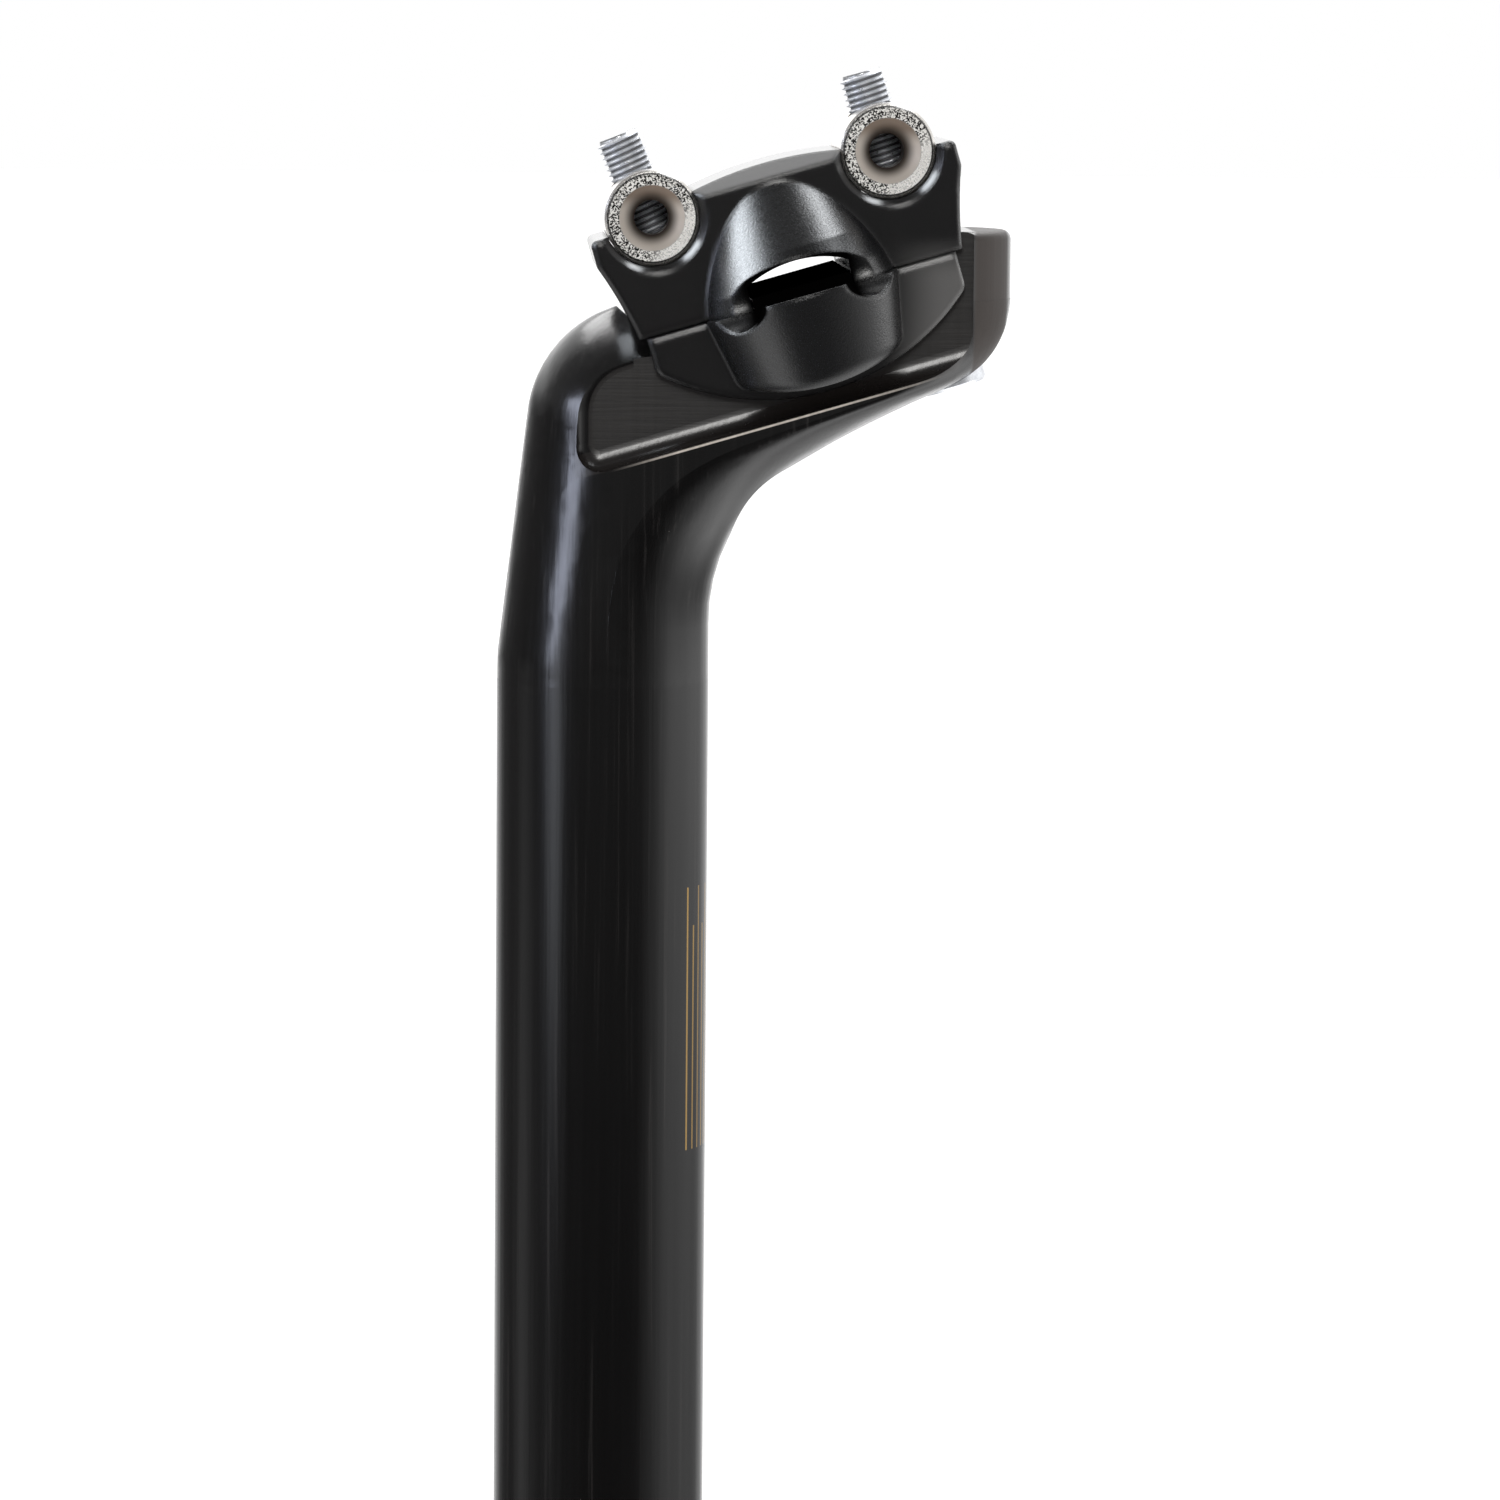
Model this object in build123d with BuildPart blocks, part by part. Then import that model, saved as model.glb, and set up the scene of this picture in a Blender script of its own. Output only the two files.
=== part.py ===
import os
from math import cos, pi, radians, sin, sqrt, tan

from build123d import *

# Shaft
post_od = 27.2
post_wall = 2.2
post_end_break = 0.6
bore_stop = 36.0
bore_round = 6.0

# Place of the saddle rails, measured from the shaft's lower end and axis
rail_height = 350.0
setback = 24.5
rail_rise = 16.2
rail_d = 7.0
rail_spacing = 44.0
rail_axis_rise = 1.5

# Head of the post, its side outline from the neck to the heel
neck_drop = 47.0
neck_blend = 6.0
neck_step = 0.02
front_lean = 6.8
shoulder_r = 16.0
shoulder_drop = 17.4
shoulder_min_half = 5.0
throat_drop = 42.3
throat_r = 24.0
throat_turn = 59.0
chin_r = 156.0
chin_turn = 67.0
heel_r = 12.0
chin_end_r = 7.5
heel_wall_rise = 8.0
heel_edge_round = 1.2
head_levels = 36

# Milled cheeks on both sides of the head
cheek_width = 21.0
cheek_drop = 14.7
cheek_round = 2.7
cheek_front_x = -4.4
cheek_rear_x = 46.4
cheek_brow_drop = 9.3
cheek_brow_rise = 19.0
cheek_brow_r = 8.0
cheek_brow_end = 3.4
cheek_corner_r = 3.4

# Tilting seat between the head and the lower cradle
tilt_rise = 17.3
seat_r = 26.0
cradle_r = 30.0
seat_clear = 0.1
cheek_clear = 0.2
web_half = 17.5
tilt_range = 5.0

# Clamp blocks
clamp_width = 25.0
cradle_half = 20.3
cradle_corner_round = 1.8
foot_half = 21.2
ear_half = 23.9
ear_rise = 13.6
ear_bend_rise = 10.2
ear_hollow = 0.25
ear_round = 0.8
crown_rise = 17.2
crown_end_rise = 16.2
crown_half = 10.0
crown_edge_rise = 15.3
crown_slope = 32.0
block_edge_round = 0.7

# Wings that hold the rails
wing_r = 12.4
wing_reach = 22.8
wing_knee_rise = 2.6
wing_knee_r = 11.7
wing_knee_reach = 22.5
wing_top_rise = 14.6
wing_top_r = 8.6
keel_lip_rise = 0.5
keel_r = 12.6
keel_reach = 26.7
keel_low_r = 9.9
keel_low_reach = 23.2
keel_foot_lift = 1.4
keel_foot_round = 2.0
window_width = 13.2
window_side_rise = 3.1
window_rise = 4.8
floor_rise = 1.5
floor_clear = 0.2

# Barrel nuts
nut_d = 12.0
nut_length = 23.0
nut_spread = 31.0
nut_rise = 14.4
nut_ring_d = 11.0
nut_edge_break = 0.5
nut_sink_d = 8.4
nut_sink_depth = 3.0
nut_bore_d = 4.4
nut_clear = 0.1
nut_seat_break = 0.9

# Clamp bolts and their rocking washers
bolt_d = 6.0
bolt_clear = 0.2
bolt_length = 38.0
front_reach = 11.0
rear_reach = 10.2
bolt_tip_break = 0.6
bolt_head_d = 10.0
bolt_head_height = 4.0
bolt_head_break = 0.4
hex_across = 5.0
hex_depth = 2.6
front_splay = 6.0
washer_d = 10.6
washer_thick = 1.8
washer_ball_r = 12.0
pocket_clear = 0.4
hole_clear = 0.8
slot_spare = 0.3

# Lines and planes of the clamp: u runs back along the rails, v stands up from them
post_r = post_od / 2
rail_centre = Vector(setback, 0, rail_height)
u_dir = Vector(cos(radians(rail_rise)), 0, sin(radians(rail_rise)))
v_dir = Vector(-sin(radians(rail_rise)), 0, cos(radians(rail_rise)))
side = Plane(origin=rail_centre, x_dir=u_dir, z_dir=(0, -1, 0))
cross = Plane(origin=rail_centre, x_dir=(0, 1, 0), z_dir=u_dir)
plan = Plane(origin=rail_centre, x_dir=u_dir, z_dir=v_dir)
clamp_half = clamp_width / 2
cheek_half = cheek_width / 2
rail_half = rail_spacing / 2
head_r = post_r - neck_step
far = 4 * post_od


# Plane through a bolt: its y axis runs up the bolt, and its origin is the middle of the nut
def bolt_plane(end, splay):
    centre = rail_centre + u_dir * (end * nut_spread / 2) + v_dir * nut_rise
    lean = radians(splay)
    return Plane(origin=centre, x_dir=u_dir * cos(lean) + v_dir * sin(lean), z_dir=(0, -1, 0))


bolts = {"front": bolt_plane(-1, front_splay), "rear": bolt_plane(1, 0)}
reaches = {"front": front_reach, "rear": rear_reach}
head_drops = {end: bolt_length - reach for end, reach in reaches.items()}
ball_drops = {end: drop - washer_thick + washer_ball_r for end, drop in head_drops.items()}
tilt_slope = tan(radians(tilt_range))
bolt_way_width = bolt_d + 2 * bolt_clear


# Place of a bolt along the rails, at a height above the parting plane
def bolt_u(axis_plane, rise):
    foot = side.to_local_coords(axis_plane.origin)
    lean = side.to_local_coords(axis_plane.origin + axis_plane.y_dir) - foot
    return foot.X + (rise - nut_rise) * lean.X / lean.Y


# Heights of the head outline
neck_z = rail_height - neck_drop
throat_z = rail_height - throat_drop
shoulder_z = rail_height - shoulder_drop
throat_end = throat_r * sin(radians(throat_turn))
chin_end = throat_end + chin_r * (sin(radians(chin_turn)) - sin(radians(throat_turn)))
heel_end = chin_end + heel_r * sin(radians(chin_turn))
heel_z = throat_z + heel_end


# Front of the head: leaning wall, then a round shoulder
def front_x(z):
    lean = radians(front_lean)
    wall = -head_r + max(z - neck_z, 0) * tan(lean)
    rise = z - shoulder_z
    if rise <= shoulder_r * sin(lean):
        return wall
    centre = -head_r + (shoulder_z - neck_z) * tan(lean) + shoulder_r / cos(lean)
    return centre - sqrt(max(shoulder_r**2 - rise**2, 0))


# Back of the head: hollow throat, long chin, then a round heel
def rear_x(z):
    rise = z - throat_z
    turn_cos = cos(radians(throat_turn))
    turn_sin = sin(radians(throat_turn))
    if rise <= 0:
        return head_r
    if rise <= throat_end:
        return head_r + throat_r - sqrt(throat_r**2 - rise**2)
    chin_x = head_r + throat_r * (1 - turn_cos)
    if rise <= chin_end:
        slope = turn_sin + (rise - throat_end) / chin_r
        return chin_x + chin_r * (turn_cos - sqrt(1 - slope**2))
    heel_x = chin_x + chin_r * (turn_cos - cos(radians(chin_turn)))
    drop = min(heel_end - rise, heel_end - chin_end)
    return heel_x + sqrt(heel_r**2 - max(drop, 0) ** 2) - heel_r * cos(radians(chin_turn))


# Roundness of the back in plan: full at the throat, blunt at the end of the chin, full again at the heel
def tail_radius(z):
    rise = z - throat_z
    if rise <= throat_end:
        return head_r
    if rise <= chin_end:
        turn = pi * (rise - throat_end) / (chin_end - throat_end)
        return chin_end_r + (head_r - chin_end_r) * (1 + cos(turn)) / 2
    share = (rear_x(z) - rear_x(throat_z + chin_end)) / (rear_x(heel_z) - rear_x(throat_z + chin_end))
    return chin_end_r + (head_r - chin_end_r) * share


# Level cut through the head: a nose that narrows over the shoulder, two sides and a tail
def head_section(z):
    x_front = front_x(z)
    x_rear = rear_x(z)
    nose_r = min(head_r, (x_rear - x_front) / 2 - 0.05)
    tail_r = min(tail_radius(z), nose_r)
    rise = min(max(z - shoulder_z, 0), shoulder_r)
    nose_half = head_r - shoulder_r + sqrt(shoulder_r**2 - rise**2)
    nose_half = max(nose_half, shoulder_min_half)
    with BuildSketch(Plane.XY.offset(z)) as section:
        with BuildLine():
            nose = EllipticalCenterArc((x_front + nose_r, 0), nose_r, nose_half, 90, arc_size=180)
            tail = EllipticalCenterArc((x_rear - tail_r, 0), tail_r, head_r, -90, arc_size=180)
            Line(nose @ 0, tail @ 1)
            Line(nose @ 1, tail @ 0)
        make_face()
    return section.sketch


# Cutter for a milled cheek, with a rounded edge along its front, brow and floor
with BuildPart() as cheek_cut:
    with BuildSketch(Plane.XZ.offset(cheek_half)) as cheek_outline:
        with BuildLine():
            floor_slope = tan(radians(rail_rise))
            floor_z = rail_height - cheek_drop / cos(radians(rail_rise))
            brow_z = rail_height - cheek_brow_drop
            brow_end_z = brow_z + (cheek_brow_end - cheek_front_x) * tan(radians(cheek_brow_rise))
            Polyline(
                (cheek_front_x, floor_z + (cheek_front_x - setback) * floor_slope),
                (cheek_front_x, brow_z),
                (cheek_brow_end, brow_end_z),
                (cheek_brow_end, rail_height + far),
                (cheek_rear_x, rail_height + far),
                (cheek_rear_x, floor_z + (cheek_rear_x - setback) * floor_slope),
                close=True,
            )
        make_face()
        fillet(cheek_outline.vertices().group_by(Axis.X)[0].sort_by(Axis.Y)[0], cheek_corner_r)
        fillet(cheek_outline.vertices().group_by(Axis.X)[0].sort_by(Axis.Y)[-1], cheek_brow_r)
    extrude(amount=post_r)
    bottom = cheek_cut.faces().sort_by(Axis.Y)[-1]
    uprights = bottom.edges().filter_by(Axis.Z).filter_by(lambda edge: edge.center().X > cheek_front_x + cheek_round)
    lid = bottom.edges().group_by(Axis.Z)[-1]
    fillet([edge for edge in bottom.edges() if edge not in uprights and edge not in lid], cheek_round)


# Post: shaft and head in one forging
with BuildPart() as post:
    base_z = neck_z - neck_blend
    step = (heel_z - base_z) / head_levels
    loft([head_section(base_z + step * i) for i in range(head_levels + 1)])
    with BuildSketch(Plane.XY.offset(heel_z)) as heel_wall:
        with Locations((rear_x(heel_z) - head_r, 0)):
            Circle(head_r)
    extrude(amount=rail_height + heel_wall_rise - heel_z)
    fillet(post.faces().sort_by(Axis.Z)[-1].edges(), heel_edge_round)
    with BuildSketch(Plane.XY) as shaft_ring:
        Circle(post_r)
    extrude(amount=base_z + neck_blend / 2)
    # Seat that the cradle tilts in
    with BuildSketch(side) as seat:
        with Locations((0, tilt_rise)):
            Circle(seat_r + seat_clear)
    extrude(amount=far, both=True, mode=Mode.SUBTRACT)
    # Milled cheeks, one on each side
    add(cheek_cut.part, mode=Mode.SUBTRACT)
    add(mirror(cheek_cut.part, about=Plane.XZ, mode=Mode.PRIVATE), mode=Mode.SUBTRACT)
    # Bore of the shaft
    with BuildSketch(Plane.XZ) as bore:
        with BuildLine():
            Polyline((0, 0), (post_r - post_wall, 0), (post_r - post_wall, rail_height - bore_stop))
            Line((post_r - post_wall, rail_height - bore_stop), (0, rail_height - bore_stop))
            Line((0, rail_height - bore_stop), (0, 0))
        make_face()
        fillet(bore.vertices().group_by(Axis.Y)[-1].sort_by(Axis.X)[-1], bore_round)
    revolve(axis=Axis.Z, mode=Mode.SUBTRACT)
    # Bolt holes with ball seats for the washers
    for end, axis_plane in bolts.items():
        with BuildSketch(axis_plane) as bolt_way:
            with BuildLine():
                ball_drop = ball_drops[end]
                seat_ball_r = washer_ball_r + seat_clear
                pocket_r = washer_d / 2 + pocket_clear
                rim = (pocket_r, sqrt(seat_ball_r**2 - pocket_r**2) - ball_drop)
                crown = (0, seat_ball_r - ball_drop)
                RadiusArc(crown, rim, seat_ball_r)
                Polyline(rim, (pocket_r, -far), (0, -far), crown)
            make_face()
            with Locations((0, 0)):
                Rectangle(bolt_d / 2 + hole_clear, far, align=(Align.MIN, Align.MAX))
        revolve(axis=Axis(axis_plane.origin, axis_plane.y_dir), mode=Mode.SUBTRACT)
    chamfer(post.edges().group_by(Axis.Z)[0].sort_by(SortBy.RADIUS)[0], post_end_break)


# Keel-shaped wing of the lower cradle, with a rounded foot
with BuildPart() as keel:
    with BuildSketch(plan.offset(keel_lip_rise)) as keel_top:
        with Locations((0, keel_reach - keel_r)):
            Circle(keel_r)
    with BuildSketch(plan.offset(tilt_rise - cradle_r)) as keel_low:
        with Locations((0, keel_low_reach - keel_low_r)):
            Circle(keel_low_r)
    loft()
    with BuildSketch(side) as keel_foot:
        with Locations((0, tilt_rise)):
            Circle(cradle_r - keel_foot_lift)
    extrude(amount=far, both=True, mode=Mode.INTERSECT)
    fillet(keel.faces().sort_by(Axis.Z)[0].edges(), keel_foot_round)


# Lower cradle: half-moon block that rides on the head, with a keel on each side
with BuildPart() as lower_cradle:
    with BuildSketch(side) as moon:
        with Locations((0, tilt_rise)):
            Circle(cradle_r)
        with Locations((0, 0)):
            Rectangle(2 * cradle_half, cradle_r, align=(Align.CENTER, Align.MAX), mode=Mode.INTERSECT)
        fillet(moon.vertices().group_by(Axis.Y)[0], cradle_corner_round)
    extrude(amount=clamp_half, both=True)
    fillet(lower_cradle.faces().filter_by(Axis.Y).edges(), block_edge_round)
    add(keel.part)
    add(mirror(keel.part, about=Plane.XZ, mode=Mode.PRIVATE))
    # Flat top between the rails, with a raised floor in the window
    with BuildSketch(plan) as flat_top:
        Rectangle(far, rail_spacing)
    extrude(amount=keel_lip_rise, mode=Mode.SUBTRACT)
    with BuildSketch(plan) as floor:
        Rectangle(window_width - 2 * floor_clear, rail_spacing)
    extrude(amount=floor_rise)
    # Channel that fits over the head, with its web riding in the seat
    with BuildSketch(side) as channel:
        Rectangle(far, far)
        with Locations((0, 0)):
            Rectangle(2 * web_half, far, mode=Mode.SUBTRACT)
        with Locations((0, tilt_rise)):
            Circle(2 * cradle_r)
            Circle(seat_r, mode=Mode.SUBTRACT)
    extrude(amount=cheek_half + cheek_clear, both=True, mode=Mode.SUBTRACT)
    # Rail grooves
    with BuildSketch(cross) as grooves:
        with Locations((rail_half, rail_axis_rise), (-rail_half, rail_axis_rise)):
            Circle(rail_d / 2)
    extrude(amount=far, both=True, mode=Mode.SUBTRACT)
    # Open notches for the bolts
    with BuildSketch(plan) as notches:
        for axis_plane in bolts.values():
            near = bolt_u(axis_plane, tilt_rise - seat_r)
            end = 1 if near > 0 else -1
            inner = abs(near) - seat_r * tilt_slope - slot_spare
            with Locations((end * (inner + cradle_half) / 2, 0)):
                SlotCenterToCenter(cradle_half - inner, bolt_way_width)
    extrude(amount=-far, mode=Mode.SUBTRACT)


# Upper clamp: block with two nut seats, and a domed wing on each side
with BuildPart() as upper_clamp:
    with BuildSketch(side) as block:
        with BuildLine():
            foot = (foot_half, 0)
            bend = (ear_half, ear_bend_rise)
            middle = ((foot_half + ear_half) / 2 - ear_hollow, ear_bend_rise / 2)
            ThreePointArc(foot, middle, bend)
            Polyline(bend, (ear_half, ear_rise), (crown_half, ear_rise), (crown_half, crown_end_rise))
            crown_top = (0, crown_rise)
            ThreePointArc((crown_half, crown_end_rise), crown_top, (-crown_half, crown_end_rise))
            Polyline(
                (-crown_half, crown_end_rise), (-crown_half, ear_rise), (-ear_half, ear_rise), (-ear_half, bend[1])
            )
            ThreePointArc((-ear_half, bend[1]), (-middle[0], middle[1]), (-foot_half, 0))
            Line((-foot_half, 0), foot)
        make_face()
        fillet(block.vertices().group_by(Axis.X)[0] + block.vertices().group_by(Axis.X)[-1], ear_round)
    extrude(amount=clamp_half, both=True)
    fillet(upper_clamp.faces().filter_by(Axis.Y).edges(), block_edge_round)
    for hand in (-1, 1):
        for rise, radius, reach in (
            (0, wing_r, wing_reach),
            (wing_knee_rise, wing_knee_r, wing_knee_reach),
            (wing_top_rise, wing_top_r, clamp_half),
        ):
            with BuildSketch(plan.offset(rise)) as wing:
                with Locations((0, hand * (reach - radius))):
                    Circle(radius)
        loft(ruled=True)
    # Sloping edges of the crown
    with BuildSketch(cross) as crown_edges:
        with BuildLine():
            rise = crown_rise - crown_edge_rise + ear_round
            Polyline(
                (clamp_half, crown_edge_rise),
                (clamp_half, crown_edge_rise + rise),
                (clamp_half - rise / tan(radians(crown_slope)), crown_edge_rise + rise),
                (clamp_half, crown_edge_rise),
            )
        make_face()
        mirror(about=Plane.YZ)
    extrude(amount=crown_half, both=True, mode=Mode.SUBTRACT)
    # Seats of the barrel nuts
    with BuildSketch(side) as nut_seats:
        with Locations((nut_spread / 2, nut_rise), (-nut_spread / 2, nut_rise)):
            Circle(nut_d / 2 + nut_clear)
    extrude(amount=far, both=True, mode=Mode.SUBTRACT)
    with BuildSketch(side.offset(clamp_half - nut_seat_break)) as seat_mouths:
        with Locations((nut_spread / 2, nut_rise), (-nut_spread / 2, nut_rise)):
            Circle(nut_d / 2 + nut_clear)
    extrude(amount=2 * nut_seat_break, taper=-45, mode=Mode.SUBTRACT)
    with BuildSketch(side.offset(nut_seat_break - clamp_half)) as far_mouths:
        with Locations((nut_spread / 2, nut_rise), (-nut_spread / 2, nut_rise)):
            Circle(nut_d / 2 + nut_clear)
    extrude(amount=-2 * nut_seat_break, taper=-45, mode=Mode.SUBTRACT)
    # Corners that pass inside the head's seat
    with BuildSketch(side) as relief:
        with Locations((0, 0)):
            Rectangle(far, ear_rise, align=(Align.CENTER, Align.CENTER))
        with Locations((0, tilt_rise)):
            Circle(seat_r, mode=Mode.SUBTRACT)
    extrude(amount=cheek_half + cheek_clear, both=True, mode=Mode.SUBTRACT)
    # Rail grooves and the open window between them
    with BuildSketch(cross) as upper_grooves:
        with Locations((rail_half, rail_axis_rise), (-rail_half, rail_axis_rise)):
            Circle(rail_d / 2)
    extrude(amount=far, both=True, mode=Mode.SUBTRACT)
    with BuildSketch(side) as window:
        with BuildLine():
            jamb = window_width / 2
            Polyline((-jamb, window_side_rise), (-jamb, 0), (jamb, 0), (jamb, window_side_rise))
            ThreePointArc((jamb, window_side_rise), (0, window_rise), (-jamb, window_side_rise))
        make_face()
    extrude(amount=far, both=True, mode=Mode.SUBTRACT)
    # Bolt slots
    with BuildSketch(plan) as slots:
        for axis_plane in bolts.values():
            with Locations((bolt_u(axis_plane, 0), 0)):
                SlotCenterToCenter(2 * (tilt_rise * tilt_slope + slot_spare), bolt_way_width)
    extrude(amount=nut_rise, mode=Mode.SUBTRACT)


# Barrel nuts, hollow, with the bolt's thread hole across the middle
nuts = {}
for end, axis_plane in bolts.items():
    with BuildPart() as nut:
        with BuildSketch(Plane(origin=axis_plane.origin, x_dir=(0, 1, 0), z_dir=u_dir)) as nut_half:
            with BuildLine():
                half = nut_length / 2
                Polyline(
                    (0, nut_bore_d / 2),
                    (half - nut_sink_depth, nut_bore_d / 2),
                    (half, nut_sink_d / 2),
                    (half, nut_ring_d / 2),
                    (half - nut_edge_break, nut_d / 2),
                    (0, nut_d / 2),
                    (0, nut_bore_d / 2),
                )
            make_face()
            mirror(about=Plane.YZ)
        revolve(axis=Axis(axis_plane.origin, (0, 1, 0)))
        with BuildSketch(Plane(origin=axis_plane.origin, x_dir=(0, 1, 0), z_dir=axis_plane.y_dir)):
            Circle(bolt_d / 2 + bolt_clear)
        extrude(amount=nut_d, both=True, mode=Mode.SUBTRACT)
    nuts[end] = nut


# Clamp bolts with a hexagon socket in the head
screws = {}
for end, axis_plane in bolts.items():
    with BuildPart() as screw:
        with BuildSketch(axis_plane) as screw_half:
            with BuildLine():
                r = bolt_d / 2
                cap_r = bolt_head_d / 2
                tip = reaches[end]
                neck = -head_drops[end]
                low = neck - bolt_head_height
                Polyline(
                    (0, tip),
                    (r - bolt_tip_break, tip),
                    (r, tip - bolt_tip_break),
                    (r, neck),
                    (cap_r, neck),
                    (cap_r, low + bolt_head_break),
                    (cap_r - bolt_head_break, low),
                    (0, low),
                    (0, tip),
                )
            make_face()
        revolve(axis=Axis(axis_plane.origin, axis_plane.y_dir))
        head_end = axis_plane.origin + axis_plane.y_dir * low
        with BuildSketch(Plane(origin=head_end, x_dir=(0, 1, 0), z_dir=axis_plane.y_dir)):
            RegularPolygon(hex_across / 2, 6, major_radius=False)
        extrude(amount=hex_depth, mode=Mode.SUBTRACT)
    screws[end] = screw


# Rocking washers, ball-shaped on the side that meets the head
washers = {}
for end, axis_plane in bolts.items():
    with BuildPart() as washer:
        with BuildSketch(axis_plane) as washer_half:
            with BuildLine():
                inner = bolt_d / 2 + bolt_clear
                outer = washer_d / 2
                ball_drop = ball_drops[end]
                flat = -head_drops[end]
                inner_top = (inner, sqrt(washer_ball_r**2 - inner**2) - ball_drop)
                outer_top = (outer, sqrt(washer_ball_r**2 - outer**2) - ball_drop)
                RadiusArc(inner_top, outer_top, washer_ball_r)
                Polyline(outer_top, (outer, flat), (inner, flat), inner_top)
            make_face()
        revolve(axis=Axis(axis_plane.origin, axis_plane.y_dir))
    washers[end] = washer


pieces = {"post": post, "lower_cradle": lower_cradle, "upper_clamp": upper_clamp}
for end in bolts:
    pieces[f"{end}_barrel_nut"] = nuts[end]
    pieces[f"{end}_bolt"] = screws[end]
    pieces[f"{end}_washer"] = washers[end]

os.makedirs("parts", exist_ok=True)
for name, piece in pieces.items():
    piece.part.label = name
    export_step(piece.part, f"parts/{name}.step")
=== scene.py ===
import math

import bmesh
import bpy
from mathutils import Euler, Matrix, Vector


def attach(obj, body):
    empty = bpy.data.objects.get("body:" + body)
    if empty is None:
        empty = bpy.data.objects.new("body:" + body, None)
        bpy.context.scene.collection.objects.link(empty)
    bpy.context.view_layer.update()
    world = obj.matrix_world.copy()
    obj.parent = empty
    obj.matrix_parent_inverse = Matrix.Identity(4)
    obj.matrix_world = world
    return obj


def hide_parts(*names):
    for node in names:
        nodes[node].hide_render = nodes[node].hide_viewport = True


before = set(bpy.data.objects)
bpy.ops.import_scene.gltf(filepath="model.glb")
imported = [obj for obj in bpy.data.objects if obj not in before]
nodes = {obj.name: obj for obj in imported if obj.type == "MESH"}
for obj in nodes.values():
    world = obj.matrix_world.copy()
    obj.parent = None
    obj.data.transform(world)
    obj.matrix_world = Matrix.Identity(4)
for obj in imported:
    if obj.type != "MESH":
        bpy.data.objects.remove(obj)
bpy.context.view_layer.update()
scene = bpy.context.scene
mm = 0.001
print("frame loaded:", ", ".join(sorted(nodes)))


# a socket that takes + - * / and the rest, so shader maths reads as maths
class Wire:
    def __init__(self, tree, socket=None):
        self.tree = tree
        self.socket = socket

    def add(self, kind, settings=None, inputs=None, out=0):
        node = self.tree.nodes.new("ShaderNode" + kind)
        for name, value in (settings or {}).items():
            if name == "stops":
                ramp = node.color_ramp.elements
                ramp[0].position, ramp[0].color = value[0]
                ramp[1].position, ramp[1].color = value[-1]
                for place, colour in value[1:-1]:
                    ramp.new(place).color = colour
            elif name == "ease":
                node.color_ramp.interpolation = value
            else:
                setattr(node, name, value)
        for name, value in (inputs or {}).items():
            if isinstance(value, Wire):
                self.tree.links.new(value.socket, node.inputs[name])
            else:
                node.inputs[name].default_value = value
        return Wire(self.tree, node.outputs[out])

    def other(self, out):
        return Wire(self.tree, self.socket.node.outputs[out])

    def maths(self, operation, a, b=0.0):
        return self.add("Math", {"operation": operation}, {0: a, 1: b})

    def __add__(self, b):
        return self.maths("ADD", self, b)

    def __radd__(self, a):
        return self.maths("ADD", a, self)

    def __sub__(self, b):
        return self.maths("SUBTRACT", self, b)

    def __rsub__(self, a):
        return self.maths("SUBTRACT", a, self)

    def __mul__(self, b):
        return self.maths("MULTIPLY", self, b)

    def __rmul__(self, a):
        return self.maths("MULTIPLY", a, self)

    def __truediv__(self, b):
        return self.maths("DIVIDE", self, b)

    def __rtruediv__(self, a):
        return self.maths("DIVIDE", a, self)

    def __abs__(self):
        return self.maths("ABSOLUTE", self)

    # 0 at low, 1 at high, eased; low may be the larger
    def fade(self, low, high):
        return self.add("MapRange", {"interpolation_type": "SMOOTHSTEP"},
                        {"Value": self, "From Min": low, "From Max": high})

    # 1 from low to high, with soft edges
    def between(self, low, high, soft):
        return self.fade(low - soft, low + soft) * self.fade(high + soft, high - soft)

    def parts(self):
        split = self.add("SeparateXYZ", None, {0: self})
        return split, split.other(1), split.other(2)

    def length(self):
        return self.add("VectorMath", {"operation": "LENGTH"}, {0: self}, "Value")

    def scaled(self, scale):
        return self.add("Mapping", None, {"Vector": self, "Scale": scale})

    # the same point measured from another origin, along turned axes
    def seenFrom(self, origin, turn=(0, 0, 0)):
        return self.add("Mapping", {"vector_type": "TEXTURE"},
                        {"Vector": self, "Location": origin, "Rotation": turn})

    def noise(self, scale, detail, rough):
        return self.add("TexNoise", None, {
            "Vector": self, "Scale": scale, "Detail": detail, "Roughness": rough})

    # small cells, and a number from 0 to 1 that each one draws
    def cells(self, scale):
        cells = self.add("TexVoronoi", None, {"Vector": self, "Scale": scale})
        return cells, cells.other("Color").parts()[0]

    # scattered soft dots, one in each of a share of the cells
    def dots(self, scale, radius, share):
        cells, lot = self.cells(scale)
        return cells.fade(radius * scale, radius * scale * 0.5) * lot.fade(share, share * 0.98)

    def mixColour(self, a, b):
        return self.add("Mix", {"data_type": "RGBA"}, {0: self, 6: a, 7: b}, 2)


# new material: gives its principled shader and a wire with the object coordinates
def newFinish(name, fixed):
    material = bpy.data.materials.new(name)
    material.use_nodes = True
    tree = material.node_tree
    shader = tree.nodes["Principled BSDF"]
    for socket, value in fixed.items():
        shader.inputs[socket].default_value = value
    return material, shader, Wire(tree).add("TexCoord", out="Object")


# bump of a look's own strength and depth, on top of another normal if there is one
def bumped(height, look, under=None):
    inputs = {"Strength": look["bump"], "Distance": look["bumpDepth"], "Height": height}
    if under:
        inputs["Normal"] = under
    return height.add("Bump", None, inputs)


def plug(shader, **links):
    sockets = {"colour": "Base Color", "rough": "Roughness",
               "metal": "Metallic", "normal": "Normal"}
    for name, wire in links.items():
        wire.tree.links.new(wire.socket, shader.inputs[sockets[name]])


def dress(name, material):
    mesh = nodes[name].data
    mesh.materials.clear()
    mesh.materials.append(material)


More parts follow.
